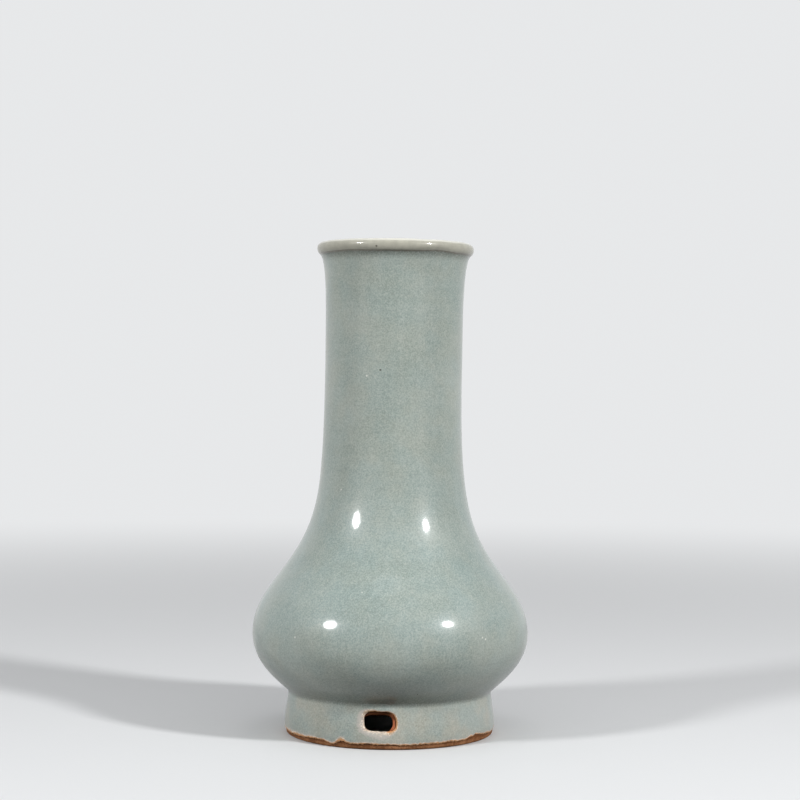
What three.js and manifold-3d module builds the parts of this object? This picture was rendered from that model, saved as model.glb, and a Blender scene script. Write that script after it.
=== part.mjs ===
// A long-necked celadon vase with a low, turnip-shaped belly and a pierced foot ring.
// The stoneware is thrown in four sections, luted end to end with slip, and covered by three coats of glaze.
// Millimetres, +Z up, origin at the centre of the circle on which the foot stands, front slot on -Y.
import * as THREE from "three";
import { mergeVertices } from "three/addons/utils/BufferGeometryUtils.js";
import Module from "manifold-3d";

const wasm = await Module();
wasm.setup();

// Outside of the glaze, from the ground up
const totalHeight = 210;
const footRadius = 45.1; // widest part of the foot, just over its bare edge
const footWidestHeight = 3.6;
const creaseRadius = 43.6; // where foot and belly meet
const creaseHeight = 18.1;
const creaseSlope = 41.5; // degrees
const bellyRadius = 59.2;
const bellyHeight = 42.4;
const shoulderRadius = 42.9; // the outline turns from convex to hollow here
const shoulderHeight = 74.7;
const shoulderSlope = 56.4; // degrees
const waistRadius = 29.5; // slimmest part of the neck
const waistHeight = 155.9;
const lipRadius = 33.75;
const lipDepth = 4.6; // from the rolled lip's crest to its lower edge
const lipTopRound = 3.1;
const lipLowerRound = 1.4;
const lipLowerReach = 1.6; // lower edge of the lip, in from its outermost line
const crestReach = 3.1; // crest of the lip, in from its outermost line
const flareSlope = 44.5; // degrees, of the neck where it meets the lip
const flareDepth = 15; // how far down the inside of the mouth widens

// How far each curve holds its direction at its two ends
const undersideHold = [9.9, 11];
const domeHold = [12.7, 12.1];
const neckHold = [19.8, 51.8];
const flareHold = [27.2, 3.6];

// Walls and coats
const glazeThickness = 0.9;
const bondGap = 0.3; // line between clay and glaze
const clayThickness = 3.4; // wall of belly and neck
const floorThickness = 5;
const floorRadius = 31; // flat part of the floor inside
const floorCornerHeight = 7;

// Foot ring, measured on the clay
const footWallThickness = 4.6;
const footTopHeight = 16.7;
const footInnerTaper = 1; // how much narrower the foot's hollow is at its top
const bareHeight = 1.9; // edge left unglazed
const bareReach = 0.75; // how far the bare edge stands out under the glaze
const bareBevel = 1;
const wellGlazeHeight = 3; // the glaze in the hollow stops at this height

// Cord slots through the foot, one at the front and one at the back
const slotWidth = 12;
const slotHeight = 6.4;
const slotCentreHeight = 10.1;
const slotCornerRadius = 2.6;
const slotGlazeMargin = 1; // glaze draws back this far round a slot, and further over it
const slotGlazeRise = 1;

// Seams between the thrown sections, filled with slip
const bellySeamHeight = 34.9;
const neckSeamHeight = 99;
const slipThickness = 0.6;
const seamBevelDepth = 1.5; // bevel on the inside edges of a seam
const seamBevelHeight = 1.6;

// The neck leans a little to +X
const neckLean = THREE.MathUtils.degToRad(0.52);
const leanStart = 66;
const leanRamp = 30;

// Facets
const turns = 36;
const footSteps = 4;
const undersideSteps = 5;
const domeSteps = 5;
const neckSteps = 7;
const flareSteps = 4;
const roundSteps = 3;

const point = (radius, height) => new THREE.Vector2(radius, height);

// Direction in the section plane, in degrees above the outward horizontal
function heading(degrees) {
  const angle = THREE.MathUtils.degToRad(degrees);
  return point(Math.cos(angle), Math.sin(angle));
}

// A cubic from one point to another, leaving and arriving along two headings
function sweep(start, startHeading, startHold, end, endHeading, endHold, steps) {
  const leave = start.clone().addScaledVector(heading(startHeading), startHold);
  const arrive = end.clone().addScaledVector(heading(endHeading), -endHold);
  return new THREE.CubicBezierCurve(start, leave, arrive, end).getPoints(steps);
}

// A round of a given radius, between two headings from its centre
function round(centre, radius, fromDegrees, toDegrees) {
  const turn = (toDegrees - fromDegrees) / roundSteps;
  const steps = [...Array(roundSteps + 1).keys()];
  return steps.map((i) => centre.clone().addScaledVector(heading(fromDegrees + turn * i), radius));
}

// Runs joined into one line, without repeated points
function join(...runs) {
  const line = [];
  for (const p of runs.flat()) {
    if (!line.length || line.at(-1).distanceTo(p) > 0.02) line.push(p);
  }
  return line;
}

// The line moved to its left by a distance, with mitred corners; points on the axis stay there
function offset(line, distance) {
  const leftOf = (a, b) => point(a.y - b.y, b.x - a.x).normalize();
  return line.map((p, i) => {
    const before = i > 0 ? leftOf(line[i - 1], p) : leftOf(p, line[1]);
    const after = i + 1 < line.length ? leftOf(p, line[i + 1]) : before;
    const mitre = before.clone().add(after).normalize();
    const moved = p.clone().addScaledVector(mitre, distance / mitre.dot(before));
    return p.x === 0 ? moved.setX(0) : moved;
  });
}

// The stretch of a rising line between two heights, with its ends cut level
function between(line, low, high) {
  const kept = line.filter((p) => p.y > low && p.y < high);
  for (let i = 0; i + 1 < line.length; i++) {
    const [a, b] = [line[i], line[i + 1]];
    if ((a.y - low) * (b.y - low) <= 0 && a.y !== b.y) {
      kept.unshift(a.clone().lerp(b, (low - a.y) / (b.y - a.y)));
    }
    if ((a.y - high) * (b.y - high) <= 0 && a.y !== b.y) {
      kept.push(a.clone().lerp(b, (high - a.y) / (b.y - a.y)));
    }
  }
  return join(kept);
}

// The outer face of the outer glaze, from the bare edge up to the lip's crest
const footEdge = point(footRadius, footWidestHeight);
const crease = point(creaseRadius, creaseHeight);
const belly = point(bellyRadius, bellyHeight);
const shoulder = point(shoulderRadius, shoulderHeight);
const waist = point(waistRadius, waistHeight);
const underLip = point(lipRadius - lipLowerReach, totalHeight - lipDepth - lipLowerRound);
const lipLowerCentre = point(lipRadius - lipLowerRound, totalHeight - lipDepth + lipLowerRound);
const lipTopCentre = point(lipRadius - lipTopRound, totalHeight - lipTopRound);
const crest = point(lipRadius - crestReach, totalHeight);
const footHold = (creaseHeight - footWidestHeight) / 3;
const domeHeading = 180 - shoulderSlope;
const outerFace = join(
  [point(footRadius - bondGap, bareHeight + bondGap)],
  sweep(footEdge, 90, footHold, crease, 92, footHold, footSteps),
  sweep(crease, creaseSlope, undersideHold[0], belly, 90, undersideHold[1], undersideSteps),
  sweep(belly, 90, domeHold[0], shoulder, domeHeading, domeHold[1], domeSteps),
  sweep(shoulder, domeHeading, neckHold[0], waist, 90, neckHold[1], neckSteps),
  sweep(waist, 90, flareHold[0], underLip, flareSlope, flareHold[1], flareSteps),
  round(lipLowerCentre, lipLowerRound, -60, 0),
  round(lipTopCentre, lipTopRound, 0, 90),
);

// The inner face of the inner glaze, from the crest down to the middle of the floor
const coatDepth = glazeThickness + bondGap;
const baseHeight = footTopHeight + slipThickness;
const floorHeight = baseHeight + floorThickness + coatDepth;
const wallLine = offset(outerFace, clayThickness + 2 * coatDepth);
const bore = between(wallLine, floorHeight + floorCornerHeight, underLip.y - flareDepth).reverse();
const innerFace = join(
  sweep(crest, 180, 1.6, bore[0], -90, 9, 5),
  bore,
  sweep(bore.at(-1), 236, 5, point(floorRadius, floorHeight), 180, 6, 3),
  [point(0, floorHeight)],
);

// Both coats and the clay under them follow one line, over the crest
const face = join(outerFace, innerFace);
const crestIndex = outerFace.length - 1;
const coatBack = offset(face, glazeThickness);
const clayFace = offset(face, coatDepth);
const clayOutside = clayFace.slice(0, crestIndex + 1);
const clayInside = clayFace.slice(crestIndex, -1).reverse();
const radiusAt = (line, height) => between(line, height, totalHeight)[0].x;

// Leans what stands above leanStart: each level shifts to +X and tips with the neck
function lean(geometry) {
  const position = geometry.getAttribute("position");
  for (let i = 0; i < position.count; i++) {
    const rise = Math.max(position.getZ(i) - leanStart, 0);
    const ramp = Math.min(rise, leanRamp);
    const shift = neckLean * ((ramp * ramp) / (2 * leanRamp) + rise - ramp);
    const tip = (neckLean * ramp) / leanRamp;
    position.setZ(i, position.getZ(i) - position.getX(i) * tip);
    position.setX(i, position.getX(i) + shift);
  }
  geometry.computeVertexNormals();
  return geometry;
}

// Turns a section about the upright axis; it closes on itself or ends on the axis
function turned(...runs) {
  const line = join(...runs);
  const closed = line[0].x > 0 ? [...line, line[0]] : line;
  return new THREE.LatheGeometry(closed, turns).rotateX(Math.PI / 2);
}

function solidOf(geometry) {
  const bare = geometry.clone();
  bare.deleteAttribute("normal");
  bare.deleteAttribute("uv");
  const merged = mergeVertices(bare, 1e-3);
  const triVerts = new Uint32Array(merged.index.array);
  const vertProperties = merged.getAttribute("position").array;
  return new wasm.Manifold(new wasm.Mesh({ numProp: 3, vertProperties, triVerts }));
}

function geometryOf(solid) {
  const mesh = solid.getMesh();
  const geometry = new THREE.BufferGeometry();
  geometry.setAttribute("position", new THREE.BufferAttribute(new Float32Array(mesh.vertProperties), 3));
  geometry.setIndex(new THREE.BufferAttribute(new Uint32Array(mesh.triVerts), 1));
  return geometry;
}

// A bar with rounded corners, through the foot from front to back
function slotBar(margin, rise) {
  const halfWidth = slotWidth / 2 + margin;
  const halfHeight = slotHeight / 2 + margin;
  const corner = Math.min(slotCornerRadius + margin, halfHeight);
  const [x, y] = [halfWidth - corner, halfHeight - corner];
  const outline = new THREE.Shape();
  outline.absarc(x, y, corner, 0, Math.PI / 2);
  outline.absarc(-x, y, corner, Math.PI / 2, Math.PI);
  outline.absarc(-x, -y, corner, Math.PI, 1.5 * Math.PI);
  outline.absarc(x, -y, corner, 1.5 * Math.PI, 2 * Math.PI);
  const length = 4 * footRadius;
  const bar = new THREE.ExtrudeGeometry(outline, { depth: length, bevelEnabled: false, curveSegments: 3 });
  return bar.translate(0, 0, -length / 2).rotateX(Math.PI / 2).translate(0, 0, slotCentreHeight + rise);
}

const pierced = (geometry, margin, rise) =>
  geometryOf(solidOf(geometry).subtract(solidOf(slotBar(margin, rise))));

const stoneware = new THREE.MeshStandardMaterial({ color: 0x9a5f3c, roughness: 0.85, metalness: 0 });
const slip = new THREE.MeshStandardMaterial({ color: 0xa8927c, roughness: 0.9, metalness: 0 });
const celadon = new THREE.MeshStandardMaterial({ color: 0xa3b2ad, roughness: 0.18, metalness: 0 });
const innerCeladon = new THREE.MeshStandardMaterial({ color: 0x9aaaa4, roughness: 0.2, metalness: 0 });
const wellCeladon = new THREE.MeshStandardMaterial({ color: 0x9eada8, roughness: 0.25, metalness: 0 });

const vase = new THREE.Group();

function add(name, geometry, material) {
  const mesh = new THREE.Mesh(lean(geometry), material);
  mesh.name = name;
  vase.add(mesh);
}

// Foot ring: a thrown collar whose standing edge is bare and bevelled
const footClayRadius = radiusAt(clayOutside, clayOutside[0].y);
const footHollowRadius = footClayRadius - footWallThickness;
const footTopInner = footHollowRadius - footInnerTaper;
const bareRadius = footClayRadius + bareReach;
const footCollar = turned(
  [point(bareRadius - bareBevel, 0), point(bareRadius, bareBevel), point(bareRadius, bareHeight)],
  [point(footClayRadius, bareHeight)],
  between(clayOutside, clayOutside[0].y, footTopHeight),
  [point(footTopInner, footTopHeight), point(footHollowRadius, bareBevel)],
  [point(footHollowRadius + bareBevel, 0)],
);
add("foot_ring", pierced(footCollar, 0, 0), stoneware);

// Slip under the belly
const footSlip = turned(
  between(clayOutside, footTopHeight, baseHeight),
  [point(footTopInner, baseHeight), point(footTopInner, footTopHeight)],
);
add("foot_luting", footSlip, slip);

// The edge of a section at a seam, from its outside in; its inner corner is bevelled on the given side
function seamEdge(height, side) {
  const bevelled = height + side * seamBevelHeight;
  return [
    point(radiusAt(clayOutside, height), height),
    point(radiusAt(clayInside, height) + seamBevelDepth, height),
    point(radiusAt(clayInside, bevelled), bevelled),
  ];
}

// Slip in a seam: a film between the two sections, and the filled bevels inside
function seamSlip(height) {
  const low = seamEdge(height, -1);
  const high = seamEdge(height + slipThickness, 1);
  return turned(low.toReversed(), high, between(clayInside, low[2].y, high[2].y).toReversed());
}

// A thrown section between two seams
function section(lowEdge, highEdge) {
  return turned(
    lowEdge.toReversed(),
    between(clayOutside, lowEdge[0].y, highEdge[0].y),
    highEdge,
    between(clayInside, lowEdge[2].y, highEdge[2].y).toReversed(),
  );
}

// Lower belly: a bowl with the floor of the vase
const bellySeamLow = seamEdge(bellySeamHeight, -1);
const clayFloor = floorHeight - coatDepth;
const bowl = turned(
  [point(0, baseHeight)],
  between(clayOutside, baseHeight, bellySeamHeight),
  bellySeamLow,
  between(clayInside, clayFloor, bellySeamLow[2].y).toReversed(),
  [point(0, clayFloor)],
);
add("lower_belly", bowl, stoneware);
add("belly_luting", seamSlip(bellySeamHeight), slip);

// Upper belly: a dome, thrown upside down and turned over on to the bowl
const bellySeamHigh = seamEdge(bellySeamHeight + slipThickness, 1);
const neckSeamLow = seamEdge(neckSeamHeight, -1);
add("upper_belly", section(bellySeamHigh, neckSeamLow), stoneware);
add("neck_luting", seamSlip(neckSeamHeight), slip);

// Neck, with its lip rolled outwards
const neckSeamHigh = seamEdge(neckSeamHeight + slipThickness, 1);
const neck = turned(
  neckSeamHigh.toReversed(),
  between(clayOutside, neckSeamHigh[0].y, totalHeight),
  between(clayInside, neckSeamHigh[2].y, totalHeight).toReversed(),
);
add("neck", neck, stoneware);

// The two coats that meet on the crest
const outerCoat = turned(face.slice(0, crestIndex + 1), coatBack.slice(0, crestIndex + 1).toReversed());
add("outer_glaze", pierced(outerCoat, slotGlazeMargin, slotGlazeRise), celadon);
const innerCoat = turned(coatBack.slice(crestIndex).toReversed(), face.slice(crestIndex));
add("inner_glaze", innerCoat, innerCeladon);

// Glaze in the foot's hollow and under the floor
const wellTopRadius = footTopInner - bondGap;
const wellLowRadius = footHollowRadius - bondGap - (footInnerTaper * wellGlazeHeight) / footTopHeight;
const wellTop = baseHeight - bondGap;
const wellCoat = turned(
  [point(0, wellTop - glazeThickness), point(wellTopRadius - glazeThickness, wellTop - glazeThickness)],
  [point(wellLowRadius - glazeThickness, wellGlazeHeight), point(wellLowRadius, wellGlazeHeight)],
  [point(wellTopRadius, wellTop), point(0, wellTop)],
);
add("foot_well_glaze", pierced(wellCoat, slotGlazeMargin, slotGlazeRise), wellCeladon);

export default vase;
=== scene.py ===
import math

import bmesh
import bpy
from mathutils import Euler, Matrix, Vector, geometry, noise


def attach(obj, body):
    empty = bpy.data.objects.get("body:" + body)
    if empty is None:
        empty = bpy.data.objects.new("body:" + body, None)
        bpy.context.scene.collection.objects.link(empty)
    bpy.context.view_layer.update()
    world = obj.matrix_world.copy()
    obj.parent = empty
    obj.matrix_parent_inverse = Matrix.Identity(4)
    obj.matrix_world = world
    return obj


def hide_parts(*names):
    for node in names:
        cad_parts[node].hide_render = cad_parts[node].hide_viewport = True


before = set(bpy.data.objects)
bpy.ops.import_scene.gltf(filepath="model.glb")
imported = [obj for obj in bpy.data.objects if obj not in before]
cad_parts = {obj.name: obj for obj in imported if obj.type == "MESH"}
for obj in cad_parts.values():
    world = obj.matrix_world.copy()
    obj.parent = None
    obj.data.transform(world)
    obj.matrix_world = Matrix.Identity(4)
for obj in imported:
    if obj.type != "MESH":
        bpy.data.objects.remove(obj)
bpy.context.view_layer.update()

# Stoneware body: two bowls and a neck, thrown on the wheel from a grey-brown clay with iron in it.
# They stand one on the other under the glaze, fired hard, matt and a little sandy.
BODY_CLAY = (0.30, 0.19, 0.12)
BODY_IRON = (0.15, 0.08, 0.045)


def add(tree, kind, inputs=(), **settings):
    """Adds a shader node; an input takes a value, or a socket that it is linked to."""
    node = tree.nodes.new("ShaderNode" + kind)
    for name, value in settings.items():
        setattr(node, name, value)
    for key, value in dict(inputs).items():
        if isinstance(value, bpy.types.NodeSocket):
            tree.links.new(value, node.inputs[key])
        else:
            node.inputs[key].default_value = value
    return node


def maths(tree, operation, a, b=0.5, clamped=False):
    return add(tree, "Math", {0: a, 1: b}, operation=operation, use_clamp=clamped).outputs[0]


def ease(tree, value, start, stop, low=0.0, high=1.0):
    """A smooth step of a value, from low at start to high at stop."""
    ends = {"Value": value, "From Min": start, "From Max": stop, "To Min": low, "To Max": high}
    return add(tree, "MapRange", ends, interpolation_type="SMOOTHSTEP").outputs["Result"]


def mixed(tree, share, a, b, way="MIX"):
    node = add(tree, "Mix", {0: share, 6: a, 7: b}, data_type="RGBA", blend_type=way)
    return node.outputs[2]


def speckle(tree, place, size, detail=2.0, squash=(1, 1, 1)):
    """Cloudy noise whose lumps are about size millimetres across, squashed along each axis."""
    scale = tuple(1 / (size * s) for s in squash)
    moved = add(tree, "Mapping", {"Vector": place, "Scale": scale}).outputs[0]
    return add(tree, "TexNoise", {"Vector": moved, "Scale": 1.0, "Detail": detail}).outputs["Fac"]


def new_group(name, inputs, outputs):
    """An empty node group, with its input and output nodes."""
    tree = bpy.data.node_groups.new(name, "ShaderNodeTree")
    for way, sockets in (("INPUT", inputs), ("OUTPUT", outputs)):
        for label, kind in sockets.items():
            tree.interface.new_socket(label, in_out=way, socket_type="NodeSocket" + kind)
    return tree, tree.nodes.new("NodeGroupInput").outputs, tree.nodes.new("NodeGroupOutput").inputs


def millimetres(tree):
    """The place on the object, in millimetres."""
    place = add(tree, "TexCoord").outputs["Object"]
    return add(tree, "VectorMath", {0: place, "Scale": 1000.0}, operation="SCALE").outputs[0]


def opaque(colour):
    return (*colour, 1.0)


clay_tree, clay_in, clay_out = new_group(
    "fired_clay",
    {"Place": "Vector", "Light": "Color", "Dark": "Color", "Grain": "Float"},
    {"Color": "Color", "Relief": "Float"},
)
clouds = speckle(clay_tree, clay_in["Place"], 6.0, 3.0)
sand = speckle(clay_tree, clay_in["Place"], 0.5, 3.0)
tone = ease(clay_tree, maths(clay_tree, "ADD", clouds, sand), 0.75, 1.25)
pits = add(clay_tree, "TexVoronoi", {"Vector": clay_in["Place"], "Scale": 0.9}).outputs["Distance"]
pitted = ease(clay_tree, pits, 0.16, 0.24)
ground = mixed(clay_tree, tone, clay_in["Dark"], clay_in["Light"])
clay_tree.links.new(mixed(clay_tree, pitted, clay_in["Dark"], ground), clay_out["Color"])
rough_face = maths(clay_tree, "MULTIPLY", maths(clay_tree, "ADD", sand, pitted), clay_in["Grain"])
clay_tree.links.new(rough_face, clay_out["Relief"])


def clay_finish(name, light, dark, grain, roughness):
    """Bare fired clay: its light and dark tones, its grain's depth in millimetres, and its roughness."""
    finish = bpy.data.materials.new(name)
    finish.use_nodes = True
    tree = finish.node_tree
    shader = tree.nodes["Principled BSDF"]
    shader.inputs["Roughness"].default_value = roughness
    clay = add(tree, "Group", node_tree=clay_tree)
    tree.links.new(millimetres(tree), clay.inputs["Place"])
    clay.inputs["Light"].default_value = opaque(light)
    clay.inputs["Dark"].default_value = opaque(dark)
    clay.inputs["Grain"].default_value = grain
    bump = add(tree, "Bump", {"Height": clay.outputs["Relief"], "Distance": 0.001})
    tree.links.new(clay.outputs["Color"], shader.inputs["Base Color"])
    tree.links.new(bump.outputs[0], shader.inputs["Normal"])
    return finish


body_clay = clay_finish("body_clay", BODY_CLAY, BODY_IRON, 0.05, 0.85)
for section in ("lower_belly", "upper_belly", "neck"):
    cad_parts[section].material_slots[0].material = body_clay

# Slip in the three seams: the same clay, thinned to a cream, brushed on to join the sections.
# It dries a little paler and smoother than the body.
seam_slip = clay_finish("seam_slip", (0.40, 0.29, 0.20), (0.24, 0.15, 0.09), 0.02, 0.9)
for seam in ("foot_luting", "belly_luting", "neck_luting"):
    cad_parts[seam].material_slots[0].material = seam_slip

# Foot ring: a thrown collar, joined on upside down, with a slot for a cord cut through its front and
# back. Its standing edge was wiped free of glaze, and the iron in the clay turned it orange-brown.
COAT = 1.2  # from the face of the glaze to the clay
BARE_RADIUS = 44.4
FOOT_HOLLOW = 39.03
FOOT_HOLLOW_TOP = 38.03
FOOT_TOP = 16.7
FOOT_EDGE = (45.1, 3.6)
CREASE = (43.6, 18.1)
SLOT_HEIGHT = 10.3
KNIFE_RIPPLE = ((0.2, 0.45), (0.12, 1.6), (0.1, 4.2))  # where the knife strayed as it cut a slot
WORN_RIPPLE = ((0.12, 0.35), (0.05, 1.3))
TURN_STEPS = 480  # round the foot and the outer coat
SECTORS = 12
SLOT_STEPS = 120
CREASE_ANGLE = math.radians(38)  # edges sharper than this stay sharp
NECK_LEAN = math.radians(0.52)
LEAN_START = 66
LEAN_RAMP = 30


def fade(value, start, stop):
    """0 before start and 1 after stop, or the other way where stop is the lower."""
    share = min(max((value - start) / (stop - start), 0), 1)
    return share * share * (3 - 2 * share)


def swell(value, middle, half_width):
    """1 at the middle, falling off smoothly on both sides."""
    return math.exp(-(((value - middle) / half_width) ** 2))


def ripple(place, layers):
    """The unevenness of a hand-made edge; each layer has its depth and its pace."""
    return sum(depth * noise.noise(place * pace) for depth, pace in layers)


def heading(degrees, length=1.0):
    """A step in the section plane, at an angle above the outward level."""
    angle = math.radians(degrees)
    return Vector((math.cos(angle), math.sin(angle))) * length


def sweep(start, leave, leave_hold, end, arrive, arrive_hold, steps):
    """A smooth run of the section from one point to another, leaving and arriving along two headings."""
    start, end = Vector(start), Vector(end)
    near_start = start + heading(leave, leave_hold)
    near_end = end - heading(arrive, arrive_hold)
    run = geometry.interpolate_bezier(start, near_start, near_end, end, steps + 1)
    return [Vector(p[:2]) for p in run]


def beside(line, distance):
    """The line moved to its left by a distance; a point on the axis stays there."""
    moved = []
    for i, p in enumerate(line):
        before = (p - line[i - 1]) if i else (line[1] - p)
        after = (line[i + 1] - p) if i + 1 < len(line) else before
        side = before.normalized() + after.normalized()
        moved.append(p + Vector((-side.y, side.x)).normalized() * distance)
        if p.x == 0:
            moved[-1].x = 0
    return moved


def thrown(line, steps):
    """Turns a section line about the upright axis; it closes on itself, or ends on the axis.

    One sector is spun from the line, and then the sector is repeated all the way round.
    """
    shape = bmesh.new()
    corners = [shape.verts.new((p[0], 0, p[1])) for p in line]
    edges = [shape.edges.new(pair) for pair in zip(corners, corners[1:])]
    if line[0][0] > 0:
        edges.append(shape.edges.new((corners[-1], corners[0])))
    axis = {"cent": (0, 0, 0), "axis": (0, 0, 1)}
    sector = math.tau / SECTORS
    bmesh.ops.spin(shape, geom=corners + edges, angle=sector, steps=steps // SECTORS, **axis)
    whole = shape.verts[:] + shape.edges[:] + shape.faces[:]
    rest = math.tau - sector
    bmesh.ops.spin(shape, geom=whole, angle=rest, steps=SECTORS - 1, use_duplicate=True, **axis)
    bmesh.ops.remove_doubles(shape, verts=shape.verts, dist=0.001)
    bmesh.ops.recalc_face_normals(shape, faces=shape.faces)
    return shape


def turn_of(point):
    """The angle round the axis, in degrees: 0 at the front, 90 on the right."""
    return math.degrees(math.atan2(point.x, -point.y))


def slot_reach(angle, reach, squareness, seed):
    """From a slot's middle to its edge, along an angle: a rounded rectangle cut by hand, so uneven."""
    right, top, left, bottom = reach
    if math.cos(angle) < 0 < math.sin(angle):
        squareness += 1.6
    across = max(math.cos(angle), 0) / right + max(-math.cos(angle), 0) / left
    up = max(math.sin(angle), 0) / top + max(-math.sin(angle), 0) / bottom
    edge = (across**squareness + up**squareness) ** (-1 / squareness)
    around = Vector((math.cos(angle) * 4, math.sin(angle) * 4, seed))
    return edge + ripple(around, KNIFE_RIPPLE)


def slot_cutter(stations, seed, back):
    """A bar through the front or back of the foot.

    Each station is a distance from the axis, the reaches to the right, up, left and down there, and the
    squareness of the corners.
    """
    bar = bmesh.new()
    rims = []
    for distance, reach, squareness in stations:
        ring = bmesh.ops.create_circle(bar, segments=SLOT_STEPS, radius=1)["verts"]
        for v in ring:
            angle = math.atan2(v.co.y, v.co.x)
            far = slot_reach(angle, reach, squareness, seed)
            v.co = Vector((math.cos(angle) * far, -distance, SLOT_HEIGHT + math.sin(angle) * far))
        rims.append([e for e in bar.edges if all(v in ring for v in e.verts)])
    for near, far in zip(rims, rims[1:]):
        bmesh.ops.bridge_loops(bar, edges=near + far)
    for rim in (rims[0], rims[-1]):
        bmesh.ops.contextual_create(bar, geom=rim)
    if back:
        bmesh.ops.rotate(bar, verts=bar.verts, cent=(0, 0, 0), matrix=Matrix.Rotation(math.pi, 3, "Z"))
    bmesh.ops.recalc_face_normals(bar, faces=bar.faces)
    return bar


def solid(shape, name):
    """Puts a mesh into the scene as an object."""
    mesh = bpy.data.meshes.new(name)
    shape.to_mesh(mesh)
    shape.free()
    made = bpy.data.objects.new(name, mesh)
    bpy.context.scene.collection.objects.link(made)
    return made


def pierced(shape, cutters):
    """Cuts bars out of a mesh and gives the cut mesh back."""
    whole = solid(shape, "whole")
    bars = [solid(cutter, "bar") for cutter in cutters]
    for bar in bars:
        cut = whole.modifiers.new("slot", "BOOLEAN")
        cut.operation = "DIFFERENCE"
        cut.solver = "MANIFOLD"
        cut.object = bar
    done = bpy.data.meshes.new_from_object(whole.evaluated_get(bpy.context.evaluated_depsgraph_get()))
    left = bmesh.new()
    left.from_mesh(done)
    for used in [whole] + bars:
        bpy.data.objects.remove(used)
    return left


def finished(shape, name, finish):
    """Leans the mesh with the neck, brings it from millimetres to metres, and gives it its finish."""
    for v in shape.verts:
        rise = max(v.co.z - LEAN_START, 0)
        ramp = min(rise, LEAN_RAMP)
        v.co.z -= v.co.x * NECK_LEAN * ramp / LEAN_RAMP
        v.co.x += NECK_LEAN * (ramp * ramp / (2 * LEAN_RAMP) + rise - ramp)
    bmesh.ops.remove_doubles(shape, verts=shape.verts, dist=0.002)
    bmesh.ops.recalc_face_normals(shape, faces=shape.faces)
    bmesh.ops.scale(shape, vec=(0.001, 0.001, 0.001), verts=shape.verts)
    made = solid(shape, name)
    made.data.shade_smooth()
    made.data.set_sharp_from_angle(angle=CREASE_ANGLE)
    made.data.materials.append(finish)
    return made


foot_side = sweep(FOOT_EDGE, 90, 4.83, CREASE, 92, 4.83, 26)
foot_clay = [p for p in beside(foot_side, COAT) if 5.2 < p.y < FOOT_TOP]
foot_section = [
    Vector((FOOT_HOLLOW + 1, 0)),
    Vector((BARE_RADIUS - 0.9, 0)),
    Vector((BARE_RADIUS - 0.35, 0.2)),
    Vector((BARE_RADIUS - 0.08, 0.6)),
    *[Vector((BARE_RADIUS, 1.1 + 0.3 * i)) for i in range(8)],
    *foot_clay,
    Vector((foot_clay[-1].x, FOOT_TOP)),
    Vector((FOOT_HOLLOW_TOP, FOOT_TOP)),
    Vector((FOOT_HOLLOW, 1.2)),
    Vector((FOOT_HOLLOW + 0.3, 0.4)),
]
foot = thrown(foot_section, TURN_STEPS)
CLAY_SLOT = [
    (48.0, (6.4, 5.1, 7.4, 3.0), 2.8),
    (43.6, (6.3, 5.0, 7.4, 3.1), 2.8),
    (42.2, (5.6, 3.6, 7.5, 3.4), 2.5),
    (38.9, (4.5, 3.2, 8.1, 4.2), 2.2),
    (35.0, (4.1, 3.4, 8.6, 4.8), 2.2),
]
foot = pierced(foot, [slot_cutter(CLAY_SLOT, 7.0, False), slot_cutter(CLAY_SLOT, 23.0, True)])
painted_shade_amount = foot.verts.layers.float.new("painted_shade_amount")
painted_light_amount = foot.verts.layers.float.new("painted_light_amount")
for v in foot.verts:
    outer_side = v.co.xy.length > FOOT_HOLLOW + 2
    # Masks for painted shade on the slot's upper face and round its mouth, and painted light on its right
    # jamb
    if 5 < v.co.z < FOOT_TOP:
        mouth = fade(v.co.xy.length, 42.4, 43.5)
        high = fade(v.co.z - SLOT_HEIGHT, 0.8, 2.8)
        jamb = fade(-v.co.x if v.co.y > 0 else v.co.x, 2.5, 4.6)
        v[painted_shade_amount] = max(high * (1 - 0.35 * jamb), mouth)
        v[painted_light_amount] = jamb * (1 - mouth)
    if v.co.z < 4 and outer_side:
        v.co.xy *= 1 + ripple(v.co, WORN_RIPPLE) * min(v.co.z, 1) / BARE_RADIUS
# The wiped band is darkest just under the glaze, and worn paler where it stands
FOOT_ORANGE = (0.46, 0.23, 0.115)
FOOT_BROWN = (0.20, 0.085, 0.036)
WORN_BAND = (0.90, 0.86, 0.82)
BURNT_BAND = (0.45, 0.36, 0.28)
JAMB_PAINTED_LIGHT = (0.74, 0.25, 0.12)  # painted light on the slot's right jamb, a brighter orange
SLOT_PAINTED_SHADE = (0.042, 0.012, 0.002)  # painted shade on the slot's upper face and round its mouth
foot_clay_finish = clay_finish("foot_clay", FOOT_ORANGE, FOOT_BROWN, 0.09, 0.8)
tree = foot_clay_finish.node_tree
shader = tree.nodes["Principled BSDF"]
height = add(tree, "SeparateXYZ", {0: millimetres(tree)}).outputs["Z"]
band_tone = mixed(tree, ease(tree, height, 0.5, 2.6), opaque(WORN_BAND), opaque(BURNT_BAND))
clay_and_painted_light = mixed(tree, 1.0, shader.inputs["Base Color"].links[0].from_socket, band_tone, "MULTIPLY")
for measure, share, colour in (("painted_light_amount", 0.9, JAMB_PAINTED_LIGHT), ("painted_shade_amount", 0.95, SLOT_PAINTED_SHADE)):
    amount = add(tree, "Attribute", attribute_type="GEOMETRY", attribute_name=measure).outputs["Fac"]
    clay_and_painted_light = mixed(tree, maths(tree, "MULTIPLY", amount, share), clay_and_painted_light, opaque(colour))
tree.links.new(clay_and_painted_light, shader.inputs["Base Color"])
shader.inputs["Specular IOR Level"].default_value = 0.12
foot_ring = finished(foot, "foot_ring_bare_clay", foot_clay_finish)
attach(foot_ring, "root")
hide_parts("foot_ring")

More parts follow.
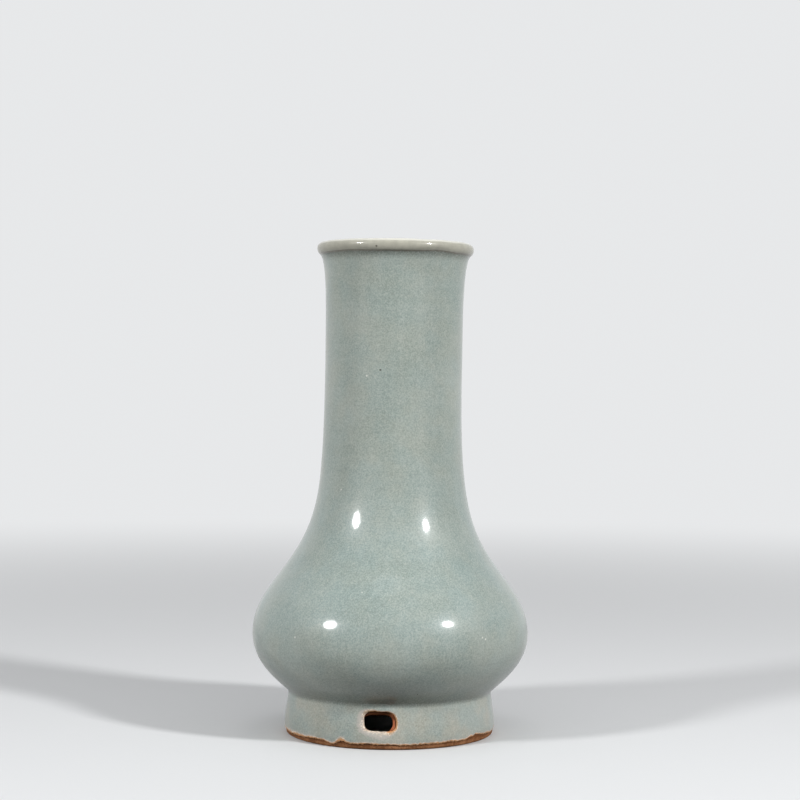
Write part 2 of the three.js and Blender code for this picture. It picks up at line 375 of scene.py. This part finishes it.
# Outer coat of celadon glaze, fused to the clay from the lip's crest down to just over the bare edge.
# A thick pale grey-green glass full of fine bubbles and crackle, thin and creamy on the lip and edges.
BELLY = (59.2, 42.4)
SHOULDER = (42.9, 74.7)
WAIST = (29.5, 155.9)
LIP_LOWER = (32.25, 204.7)
LIP_WIDEST = (33.72, 207.5)
CREST = (30.7, 210.0)
LIP_HIGHLIGHT_BAND = (208.6, 209.7)  # where the lip's crest gets its painted highlight, nearly white
GLAZE_EDGE = (44.3, 2.2)
DOME_HEADING = 123.6
BELLY_SEAM = 34.9
GLAZE_BACK = 1.28  # a little into the clay, so that no line shows between them
# Where the wiped edge rises or dips: angle round the foot, half width in degrees, rise in millimetres
EDGE_BUMPS = (
    (-60, 14, -0.65), (-47, 5, -0.3), (-27, 3.5, -1.2),
    (-23.8, 0.6, 0.7), (-22.0, 0.5, 0.9), (-20.2, 0.6, 0.6),
    (-15, 5, -0.25), (16, 20, -0.38), (48, 5, -0.3),
    (57.5, 5, 0.95), (66, 4, 0.3), (76, 6, -0.3),
    (148, 9, 0.6), (-128, 13, 0.5),
)
EDGE_RIPPLE = ((0.28, 0.2), (0.24, 0.8), (0.36, 2.1))
DRIP = (-21.6, 2.6)  # the middle and half width of a bead of thin glaze that ran down over the edge
FRAYED = (-60, 15)  # and of the stretch where the edge is frayed
# Where the lip is thinner, on each side of its front: angle, half width in degrees, depth in millimetres
LIP_PINCHES = ((36, 14, 0.5), (-34, 14, 0.3))
COAT_RIPPLE = ((0.07, 0.055), (0.004, 0.3))
NECK_SET = 0.27  # the neck was set a little to the right of the shoulder
NECK_FOOT = (98, 18)
# Specks of white ash and one of iron in the glaze: angle round the vase, height, distance from the axis
ASH_SPECKS = (
    (-17.7, 152.8, 29.6), (-36.6, 45.9, 59.1), (44.2, 46.4, 59.1),
    (45.8, 45.6, 59.1), (-57.5, 52.8, 58.2),
)
IRON_SPECK = (-6.4, 155.2, 29.5)
LIP_HOLE = (-9.3, 206.5, 33.5)

# Painted shade, for under the lip and the crease over the foot
PAINTED_SHADE = (0.13, 0.145, 0.12)
WARM_FOOT = (1.1, 1.02, 1.0)
COOL_PATCH = (0.91, 0.98, 1.03)
WARM_PATCH = (1.07, 1.01, 0.975)
CRACK_LIGHT = (0.52, 0.575, 0.53)
FINE_LIGHT = (0.53, 0.595, 0.55)
SEAM_SHADE = (0.2, 0.22, 0.2)
CREAM_LOW = (0.395, 0.385, 0.32)
CREAM_HIGH = (0.455, 0.445, 0.37)
# Painted highlight along the lip's crest
LIP_PAINTED_HIGHLIGHT = (0.74, 0.735, 0.66)
BROWN_LINE = (0.24, 0.21, 0.16)
MILKY_EDGE = (0.50, 0.46, 0.42)
EDGE_TAN = (0.50, 0.37, 0.25)
EDGE_CREAM = (0.80, 0.70, 0.58)
THIN_ORANGE = (0.66, 0.34, 0.16)
# Painted shade in the notch where the glaze's rolled edge meets the clay
EDGE_NOTCH_SHADE = (0.14, 0.06, 0.025)
ASH_WHITE = (0.8, 0.8, 0.75)
IRON_BLACK = (0.05, 0.045, 0.03)

celadon_tree, glaze_in, glaze_out = new_group(
    "crackled_celadon",
    {
        "Place": "Vector", "Thin": "Float", "Lip": "Float",
        "Pool": "Color", "Veil": "Color", "Hollow": "Color",
    },
    {"Color": "Color", "Relief": "Float", "Roughness": "Float", "Gloss": "Float"},
)
tree = celadon_tree
place = glaze_in["Place"]
height = add(tree, "SeparateXYZ", {0: place}).outputs["Z"]
drift = add(tree, "TexNoise", {"Vector": place, "Scale": 0.35, "Detail": 2.0}).outputs["Color"]
warped = add(tree, "VectorMath", {0: place, 1: drift}, operation="ADD").outputs[0]
FINE_NET = 0.95


def crackle(tree, place, scale, width):
    """A net of cracks: 1 in a crack and 0 beside it."""
    net = add(tree, "TexVoronoi", {"Vector": place, "Scale": scale}, feature="DISTANCE_TO_EDGE")
    return ease(tree, net.outputs["Distance"], 0.0, width, 1.0, 0.0)


# Crackle: a net of fine cracks, with a finer net inside it
cracks = crackle(tree, warped, 0.42, 0.06)
fine_cracks = crackle(tree, warped, FINE_NET, 0.11)
crystal = add(tree, "TexVoronoi", {"Vector": warped, "Scale": FINE_NET}).outputs["Color"]
crystal_tone = add(tree, "SeparateColor", {0: crystal}).outputs[0]
# The depth of the glass varies in clouds, in faint runs down the neck and in turning lines
clouds = speckle(tree, place, 26, 3.0)
mottle = speckle(tree, place, 2.6, 3.0)
runs = speckle(tree, place, 3.5, 2.0, (1, 1, 22))
rings = speckle(tree, place, 2.2, 2.0, (30, 30, 1))
bubbles = speckle(tree, place, 0.6, 2.0)
depth = maths(tree, "MULTIPLY", clouds, 0.8)
for layer, share in ((mottle, 0.24), (runs, 0.26), (rings, 0.2), (crystal_tone, 0.1)):
    depth = maths(tree, "ADD", depth, maths(tree, "MULTIPLY", layer, share))
glass = mixed(tree, ease(tree, depth, 0.47, 1.15), glaze_in["Pool"], glaze_in["Veil"])
# A bluer band over the hollow of the shoulder, and a warmer foot
blue_band = maths(tree, "MULTIPLY", ease(tree, height, 38, 56), ease(tree, height, 118, 84))
glass = mixed(tree, maths(tree, "MULTIPLY", blue_band, 0.8), glass, glaze_in["Hollow"], "MULTIPLY")
foot_share = ease(tree, height, 21, 15)
warmed = mixed(tree, 1.0, glass, opaque(WARM_FOOT), "MULTIPLY")
glass = mixed(tree, foot_share, glass, warmed)
# Painted shade under the lip and in the crease over the foot, where the glaze also gathers thicker
painted_shade_under_lip = maths(tree, "MULTIPLY", ease(tree, height, 201.0, 204.8), 0.85)
painted_shade_over_foot = ease(tree, height, 25.0, 18.6, 0.0, 0.5)
painted_crease_shade = maths(tree, "MULTIPLY", ease(tree, height, 16.6, 18.4), painted_shade_over_foot)
glass = mixed(tree, maths(tree, "ADD", painted_shade_under_lip, painted_crease_shade), glass, opaque(PAINTED_SHADE))
# Broad cool and warm patches, a little stronger on the foot
patch = ease(tree, speckle(tree, place, 11.0, 2.0), 0.32, 0.68)
patchy = mixed(tree, patch, opaque(COOL_PATCH), opaque(WARM_PATCH))
patched = mixed(tree, 1.0, glass, patchy, "MULTIPLY")
glass = mixed(tree, ease(tree, foot_share, 0, 1, 0.4, 1.0), glass, patched)
# Cracks and bubbles show as a fine grain
glass = mixed(tree, maths(tree, "MULTIPLY", cracks, 0.2), glass, opaque(CRACK_LIGHT))
glass = mixed(tree, maths(tree, "MULTIPLY", fine_cracks, 0.16), glass, opaque(FINE_LIGHT))
bubble_tone = ease(tree, bubbles, 0.32, 0.7, 0.885, 1.12)
bubble_grey = add(tree, "CombineColor", {i: bubble_tone for i in range(3)}).outputs[0]
glass = mixed(tree, 1.0, glass, bubble_grey, "MULTIPLY")
# The seam of the belly draws a faint line
below_seam = ease(tree, height, BELLY_SEAM - 0.9, BELLY_SEAM)
above_seam = ease(tree, height, BELLY_SEAM + 0.9, BELLY_SEAM)
seam_line = maths(tree, "MULTIPLY", below_seam, above_seam)
glass = mixed(tree, maths(tree, "MULTIPLY", seam_line, 0.12), glass, opaque(SEAM_SHADE))
# Cream lip, with a painted highlight along its crest and a brownish line where the glaze gathers under it
uneven = maths(tree, "MULTIPLY", maths(tree, "SUBTRACT", mottle, 0.5), 0.16)
lip_edge = maths(tree, "ADD", glaze_in["Lip"], uneven)
cream = mixed(tree, ease(tree, mottle, 0.3, 0.7), opaque(CREAM_LOW), opaque(CREAM_HIGH))
cream = mixed(tree, ease(tree, glaze_in["Lip"], 0.74, 1.0), cream, opaque(LIP_PAINTED_HIGHLIGHT))
brown_line = maths(tree, "MULTIPLY", ease(tree, lip_edge, 0.04, 0.18), ease(tree, lip_edge, 0.38, 0.22))
glass = mixed(tree, ease(tree, lip_edge, 0.15, 0.32), glass, cream)
glass = mixed(tree, maths(tree, "MULTIPLY", brown_line, 0.7), glass, opaque(BROWN_LINE))
# At its edges the glass thins out to cream, then to the orange of the clay under it
uneven = maths(tree, "MULTIPLY", maths(tree, "SUBTRACT", bubbles, 0.5), 0.45)
ragged = maths(tree, "ADD", glaze_in["Thin"], uneven)
veiled = maths(tree, "MULTIPLY", ease(tree, ragged, 0.02, 0.22), 0.8)
glass = mixed(tree, veiled, glass, opaque(MILKY_EDGE))
grainy = ease(tree, maths(tree, "ADD", mottle, bubbles), 0.86, 1.12)
edge_cream = mixed(tree, grainy, opaque(EDGE_TAN), opaque(EDGE_CREAM))
glass = mixed(tree, ease(tree, ragged, 0.26, 0.44), glass, edge_cream)
glass = mixed(tree, ease(tree, ragged, 0.58, 0.78), glass, opaque(THIN_ORANGE))
# Painted shade, dark brown, in the notch where the glaze's rolled edge meets the clay
glass = mixed(tree, ease(tree, ragged, 0.92, 1.03), glass, opaque(EDGE_NOTCH_SHADE))


def scattered(tree, place, scale, reach, channel, rarity):
    """Round specks strewn through the glaze; the rarity leaves most of them out."""
    net = add(tree, "TexVoronoi", {"Vector": place, "Scale": scale})
    chance = add(tree, "SeparateColor", {0: net.outputs["Color"]}).outputs[channel]
    kept = maths(tree, "GREATER_THAN", chance, rarity)
    return maths(tree, "MULTIPLY", ease(tree, net.outputs["Distance"], *reach), kept)


def speck(tree, place, spot, reach):
    """A round speck in the glaze, at an angle round the vase, a height and a distance from the axis."""
    turn, height, spread = spot
    side = math.radians(turn)
    lean = max(height - LEAN_START - LEAN_RAMP / 2, 0) * NECK_LEAN
    centre = (spread * math.sin(side) + lean, -spread * math.cos(side), height)
    away = add(tree, "VectorMath", {0: place, 1: centre}, operation="DISTANCE").outputs["Value"]
    return ease(tree, away, reach, reach * 0.4)


# Specks of white ash, and pinholes with iron in them
ash = scattered(tree, place, 0.085, (0.045, 0.02), 1, 0.7)
for spot in ASH_SPECKS:
    ash = maths(tree, "MAXIMUM", ash, speck(tree, place, spot, 0.6))
glass = mixed(tree, maths(tree, "MULTIPLY", ash, 0.7), glass, opaque(ASH_WHITE))
iron = scattered(tree, place, 0.055, (0.022, 0.008), 0, 0.5)
for spot in (LIP_HOLE, IRON_SPECK):
    iron = maths(tree, "MAXIMUM", iron, speck(tree, place, spot, 0.6))
glass = mixed(tree, maths(tree, "MULTIPLY", iron, 0.8), glass, opaque(IRON_BLACK))
tree.links.new(glass, glaze_out["Color"])
relief = maths(tree, "MULTIPLY", cracks, -0.002)
for layer, share in ((fine_cracks, -0.001), (bubbles, 0.012), (mottle, 0.004), (iron, -0.1)):
    relief = maths(tree, "ADD", relief, maths(tree, "MULTIPLY", layer, share))
tree.links.new(relief, glaze_out["Relief"])
# The glaze is duller at its edges, on the lip and along the cracks
matt_edge = maths(tree, "MULTIPLY", ease(tree, ragged, 0.3, 0.9), 0.4)
matt_edge = maths(tree, "ADD", matt_edge, maths(tree, "MULTIPLY", glaze_in["Lip"], 0.07))
worn = maths(tree, "ADD", maths(tree, "MULTIPLY", cracks, 0.08), ease(tree, mottle, 0.2, 0.8, 0.34, 0.39))
tree.links.new(maths(tree, "ADD", worn, matt_edge), glaze_out["Roughness"])
tree.links.new(maths(tree, "SUBTRACT", 0.65, matt_edge), glaze_out["Gloss"])


def glaze_finish(name, pool, veil, hollow):
    """Celadon glaze: its colour where it is deep and where milky, and its tint over the shoulder."""
    finish = bpy.data.materials.new(name)
    finish.use_nodes = True
    tree = finish.node_tree
    shader = tree.nodes["Principled BSDF"]
    shader.inputs["IOR"].default_value = 1.5
    shader.inputs["Specular IOR Level"].default_value = 0.22
    shader.inputs["Coat Roughness"].default_value = 0.1
    colours = {"Pool": opaque(pool), "Veil": opaque(veil), "Hollow": opaque(hollow)}
    glaze = tree.nodes.new("ShaderNodeGroup")
    glaze.node_tree = celadon_tree
    tree.links.new(millimetres(tree), glaze.inputs["Place"])
    for label, colour in colours.items():
        glaze.inputs[label].default_value = colour
    for label in ("Thin", "Lip"):
        measure = add(tree, "Attribute", attribute_type="GEOMETRY", attribute_name=label.lower())
        tree.links.new(measure.outputs["Fac"], glaze.inputs[label])
    bump = add(tree, "Bump", {"Height": glaze.outputs["Relief"], "Distance": 0.001})
    tree.links.new(glaze.outputs["Color"], shader.inputs["Base Color"])
    tree.links.new(glaze.outputs["Roughness"], shader.inputs["Roughness"])
    tree.links.new(glaze.outputs["Gloss"], shader.inputs["Coat Weight"])
    tree.links.new(bump.outputs[0], shader.inputs["Normal"])
    return finish


def fired(shape):
    """The unevenness of hand throwing and of a glaze that ran: waves, turning lines, a lip that dips."""
    for v in shape.verts:
        spread = v.co.xy.length
        if spread < 1:
            continue
        wave = ripple(v.co, COAT_RIPPLE)
        line = 0.003 * noise.noise(Vector((v.co.x * 0.012, v.co.y * 0.012, v.co.z * 0.42)))
        groove = -0.06 * fade(abs(v.co.z - BELLY_SEAM), 0.9, 0.0)
        v.co.xy *= 1 + (wave + line + groove) / spread
        v.co.x += NECK_SET * swell(v.co.z, *NECK_FOOT)
        turn = turn_of(v.co)
        pinch = sum(depth * swell(turn, middle, half) for middle, half, depth in LIP_PINCHES)
        v.co.z += pinch * fade(v.co.z, 201.5, 204) * fade(v.co.z, 207.5, 205.5)
        outward = v.co.xy.normalized()
        v.co.z += 0.16 * noise.noise(outward.to_3d() * 3.4 + Vector((5, 0, 0))) * fade(v.co.z, 196, 204)


GLAZE_SLOT = [(48.0, (6.3, 5.1, 7.2, 2.8), 2.8), (36.0, (6.3, 5.1, 7.2, 2.8), 2.8)]
RIM_WIDTHS = (1.1, 0.8, 3.4, 3.8)  # of the thin glaze round a slot: right, top, left and bottom


def slot_rim(point):
    """How far a point of the coat is inside the rim of a slot: 0 at the rim's outer limit, 1 at the hole.

    The glaze shrank back from the upper right of the hole: the second value is 1 there.
    """
    back = point.y > 0
    across = -point.x if back else point.x
    up = point.z - SLOT_HEIGHT
    angle = math.atan2(up, across)
    level, rise = math.cos(angle), math.sin(angle)
    right, top, left, bottom = RIM_WIDTHS
    width = (right if level > 0 else left) * level**2 + (top if rise > 0 else bottom) * rise**2
    edge = slot_reach(angle, GLAZE_SLOT[0][1], GLAZE_SLOT[0][2], 41.0 if back else 3.0)
    rim = min(max(1 - (math.hypot(across, up) - edge) / width, 0), 1)
    return rim, fade(level + rise, -0.7, 0.5)


foot_line = foot_side[:-3] + [Vector(CREASE)]
underside = sweep(CREASE, 41.5, 9.9, BELLY, 90, 11, 15)
outer_line = (
    sweep(GLAZE_EDGE, 15, 0.55, FOOT_EDGE, 90, 0.9, 8)
    + foot_line[1:]
    + underside[1:]
    + sweep(BELLY, 90, 13.7, SHOULDER, DOME_HEADING, 12.1, 24)[1:]
    + sweep(SHOULDER, DOME_HEADING, 19.8, WAIST, 90, 51.8, 34)[1:]
    + sweep(WAIST, 90, 27.2, LIP_LOWER, 54, 4.6, 18)[1:]
    + sweep(LIP_LOWER, 30, 0.9, LIP_WIDEST, 90, 1.35, 8)[1:]
    + sweep(LIP_WIDEST, 90, 1.45, CREST, 180, 1.7, 11)[1:]
)
rounding = bmesh.new()
knots = [rounding.verts.new((p.x, 0, p.y)) for p in outer_line]
for pair in zip(knots, knots[1:]):
    rounding.edges.new(pair)
crease_knot = min(knots, key=lambda v: (v.co.xz - Vector(CREASE)).length)
bmesh.ops.bevel(rounding, geom=[crease_knot], offset=1.25, offset_type="OFFSET", segments=6, profile=0.5,
                affect="VERTICES", material=-1)
outer_line = sorted((v.co.xz for v in rounding.verts), key=lambda p: p.y)
rounding.free()

back_line = beside(outer_line, GLAZE_BACK)
outer_back = [p for p in back_line[6:-9:4] if p.y > 3] + [Vector((CREST[0] + 0.4, CREST[1] - GLAZE_BACK))]
crest_back = Vector((CREST[0], CREST[1] - GLAZE_BACK))
edge_back = [Vector((43.9, 3.4)), Vector((44.1, GLAZE_EDGE[1] + 0.05))]
coat = thrown(outer_line + [crest_back] + outer_back[:-1][::-1] + edge_back, TURN_STEPS)


def by_slot(point):
    """On the outer face of the foot, round the front or the back slot."""
    return abs(point.x) < 9.6 and 5.2 < point.z < 17.2 and point.xy.length > 43.6


near_slots = [e for e in coat.edges if all(by_slot(v.co) for v in e.verts)]
bmesh.ops.subdivide_edges(coat, edges=near_slots, cuts=1, use_grid_fill=True)
coat = pierced(coat, [slot_cutter(GLAZE_SLOT, 3.0, False), slot_cutter(GLAZE_SLOT, 41.0, True)])
thin = coat.verts.layers.float.new("thin")
lip = coat.verts.layers.float.new("lip")
for v in coat.verts:
    turn = turn_of(v.co)
    outside = v.co.xy.length > 44.35 - 0.09 * v.co.z
    round_place = Vector((v.co.x, v.co.y, 0))
    frayed = swell(turn, *FRAYED)
    edge = ripple(round_place, EDGE_RIPPLE) + 0.5 * frayed * noise.noise(round_place * 2.1)
    for bump_turn, half_width, rise in EDGE_BUMPS:
        edge += rise * swell((turn - bump_turn + 180) % 360, 180, half_width)
    above = v.co.z - GLAZE_EDGE[1]
    creamy = 1.45 + 0.9 * frayed + 1.2 * max(noise.noise(round_place * 0.16 + Vector((0, 0, 9))), 0)
    v[thin] = fade(above, creamy + 2.0 * swell(turn, *DRIP), 0.25)
    v.co.z += edge * fade(above, 4.5, 0)
    # The lip's top quarter, by the crest, carries the lip's painted highlight
    v[lip] = 0.75 * fade(v.co.z, LIP_LOWER[1] - 0.6, LIP_LOWER[1] + 1.6) + 0.25 * fade(v.co.z, *LIP_HIGHLIGHT_BAND)
    if abs(v.co.x) < 12 and 4 < v.co.z < 18:
        rim, shrunk = slot_rim(v.co)
        v[thin] = max(v[thin], (0.42 + 0.58 * shrunk) * rim**0.7)
        if outside:
            v.co.xy *= 1 - 1.12 * (1 - math.sqrt(1 - rim * rim)) / v.co.xy.length
fired(coat)
OUTER_POOL = (0.275, 0.33, 0.293)
OUTER_VEIL = (0.385, 0.43, 0.388)
BLUE_TINT = (0.91, 0.96, 0.99)
outer_celadon = glaze_finish("outer_celadon", OUTER_POOL, OUTER_VEIL, BLUE_TINT)
outer_coat = finished(coat, "outer_celadon_coat", outer_celadon)
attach(outer_coat, "root")
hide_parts("outer_glaze")

# Inner coat: the same glaze, poured in and swilled round, from the lip's crest down over the floor.
# It lies thinner and greener inside.
WALL = 5.8  # both coats and the clay between them
FLOOR_HEIGHT = 23.5
INNER_STEPS = 384
bore = [p for p in beside(outer_line, WALL) if FLOOR_HEIGHT + 7 < p.y < 189][::-1]
inner_line = (
    sweep(CREST, 180, 1.6, bore[0], -90, 9, 18)
    + bore[1:]
    + sweep(bore[-1], 236, 5, (31, FLOOR_HEIGHT), 180, 6, 8)[1:]
    + [Vector((x, FLOOR_HEIGHT)) for x in (24, 16, 8, 0)]
)
inner_back = beside(inner_line, GLAZE_BACK)
inner_back[0] = Vector((CREST[0], CREST[1] - GLAZE_BACK))
floor_back = Vector((0, FLOOR_HEIGHT - GLAZE_BACK))
inside = thrown(inner_line[::-1] + inner_back[:1] + inner_back[4::2] + [floor_back], INNER_STEPS)
inside.verts.layers.float.new("thin")
lip = inside.verts.layers.float.new("lip")
for v in inside.verts:
    # The lip's top quarter, by the crest, carries the lip's painted highlight
    v[lip] = 0.75 * fade(v.co.z, 203.5, 207) + 0.25 * fade(v.co.z, *LIP_HIGHLIGHT_BAND)
fired(inside)
INNER_POOL = (0.26, 0.32, 0.28)
INNER_VEIL = (0.36, 0.41, 0.365)
inner_celadon = glaze_finish("inner_celadon", INNER_POOL, INNER_VEIL, (0.97, 1.0, 1.0))
inner_coat = finished(inside, "inner_celadon_coat", inner_celadon)
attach(inner_coat, "root")
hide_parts("inner_glaze")

# Glaze in the foot's hollow and under the floor of the vase, dipped and then wiped back from the
# standing edge. It stops in an uneven, creamy line a few millimetres up.
WELL_EDGE = 3.0
WELL_TOP = 16.7
WELL_FACE = 15.75  # the glaze's face under the floor
WELL_BEND = (FOOT_HOLLOW_TOP - 0.85, 13.2)  # where the face turns down
WELL_BATTER = 0.06  # the hollow widens by this for each millimetre down
WELL_RIPPLE = ((0.5, 0.11), (0.2, 0.6))
well_line = [
    *[Vector((x, WELL_FACE)) for x in (0, 15, 30)],
    *sweep((FOOT_HOLLOW_TOP - 3.2, WELL_FACE), 0, 1.3, WELL_BEND, -90, 1.3, 8),
    *[
        Vector((FOOT_HOLLOW_TOP - 0.83 + WELL_BATTER * (WELL_BEND[1] - z), z))
        for z in (11.8, 10.4, 9, 7.6, 6.2, 5, 4.2)
    ],
    *sweep((FOOT_HOLLOW - 1.25, 4.0), -90, 0.6, (FOOT_HOLLOW + 0.1, WELL_EDGE), 0, 0.3, 6)[1:],
    Vector((FOOT_HOLLOW_TOP + 0.15, WELL_TOP)),
    Vector((0, WELL_TOP)),
]
well = thrown(well_line, INNER_STEPS)
WELL_SLOT = [(46.0, (5.4, 4.2, 8.4, 4.6), 3.2), (30.0, (5.4, 4.4, 8.8, 5.2), 3.2)]
well = pierced(well, [slot_cutter(WELL_SLOT, 11.0, False), slot_cutter(WELL_SLOT, 31.0, True)])
thin = well.verts.layers.float.new("thin")
well.verts.layers.float.new("lip")
for v in well.verts:
    round_place = Vector((v.co.x, v.co.y, 0))
    above = v.co.z - WELL_EDGE
    v[thin] = fade(above, 0.9, 0.05)
    v.co.z += ripple(round_place, WELL_RIPPLE) * fade(above, 4, 0)
WELL_POOL = (0.28, 0.335, 0.3)
WELL_VEIL = (0.39, 0.43, 0.39)
well_celadon = glaze_finish("well_celadon", WELL_POOL, WELL_VEIL, (1.0, 1.0, 1.0))
well_coat = finished(well, "foot_well_celadon_coat", well_celadon)
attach(well_coat, "root")
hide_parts("foot_well_glaze")

# Studio: a pale table that runs out into a pale backdrop, two round lamps in front and a soft one
# overhead. The camera looks level at the middle of the neck, a little from the right, with a long lens.
BACKDROP = (0.80, 0.81, 0.82)
TABLE_SHADE = (0.09, 0.09, 0.09)  # what the table sends back up on to the vase
table = bmesh.new()
bmesh.ops.create_circle(table, cap_ends=True, segments=96, radius=4)
floor = solid(table, "table_top")
paper = bpy.data.materials.new("table_paper")
paper.use_nodes = True
tree = paper.node_tree
sheet = tree.nodes["Principled BSDF"]
sheet.inputs["Roughness"].default_value = 0.7
sheet.inputs["Specular IOR Level"].default_value = 0.2


def in_sight(tree):
    """1 where the camera sees a surface, itself or in gloss or glass, and 0 for its light."""
    rays = add(tree, "LightPath").outputs
    seen = maths(tree, "MAXIMUM", rays["Is Camera Ray"], rays["Is Glossy Ray"])
    return maths(tree, "MAXIMUM", seen, rays["Is Transmission Ray"])


seen = in_sight(tree)
sheet_colour = mixed(tree, seen, opaque(TABLE_SHADE), opaque(BACKDROP))
tree.links.new(sheet_colour, sheet.inputs["Base Color"])
table_place = add(tree, "TexCoord").outputs["Object"]
far = add(tree, "VectorMath", {0: table_place}, operation="LENGTH").outputs["Value"]
haze = add(tree, "Emission", {"Color": opaque(BACKDROP), "Strength": 1.0})
away = maths(tree, "MULTIPLY", ease(tree, far, 0.25, 1.3), seen)
blend = add(tree, "MixShader", {0: away, 1: sheet.outputs[0], 2: haze.outputs[0]})
tree.links.new(blend.outputs[0], tree.nodes["Material Output"].inputs["Surface"])
floor.data.materials.append(paper)

world = bpy.data.worlds.new("backdrop")
world.use_nodes = True
tree = world.node_tree
room = add(tree, "Background", {"Color": (0.97, 0.98, 1.0, 1), "Strength": 0.17})
wall = add(tree, "Background", {"Color": opaque(BACKDROP), "Strength": 1.0})
blend = add(tree, "MixShader", {0: in_sight(tree), 1: room.outputs[0], 2: wall.outputs[0]})
tree.links.new(blend.outputs[0], tree.nodes["World Output"].inputs["Surface"])
bpy.context.scene.world = world

LAMP_REACH = 1.6
LAMP_BASE = 0.08
LAMP_AIM = Vector((0, 0, 0.09))
# Angle round the vase, angle up, watts, width
LAMPS = ((-49.3, 25.5, 14.7, 0.27), (56.7, 28.0, 19.5, 0.19), (0, 84, 4.5, 1.2))
for turn, rise, power, size in LAMPS:
    light = bpy.data.lights.new("round_lamp", "AREA")
    light.shape = "DISK"
    light.size = size
    light.energy = power
    lamp = bpy.data.objects.new("round_lamp", light)
    level = LAMP_REACH * math.cos(math.radians(rise))
    lift = LAMP_REACH * math.sin(math.radians(rise))
    side = math.radians(turn)
    lamp.location = (level * math.sin(side), -level * math.cos(side), LAMP_BASE + lift)
    lamp.rotation_euler = (LAMP_AIM - lamp.location).to_track_quat("-Z", "Y").to_euler()
    bpy.context.scene.collection.objects.link(lamp)

camera = bpy.data.cameras.new("camera")
camera.lens = 85
camera.sensor_width = 36
camera.shift_y = -0.0211
eye = bpy.data.objects.new("camera", camera)
swing = Matrix.Rotation(math.radians(4.2), 4, "Z")
stand = Matrix.Translation((0.0035, -0.8146, 0.1498))
tilt = Euler((math.pi / 2, -math.radians(0.42), 0)).to_matrix().to_4x4()
eye.matrix_world = swing @ stand @ tilt
bpy.context.scene.collection.objects.link(eye)
bpy.context.scene.camera = eye
bpy.context.scene.view_settings.view_transform = "Standard"
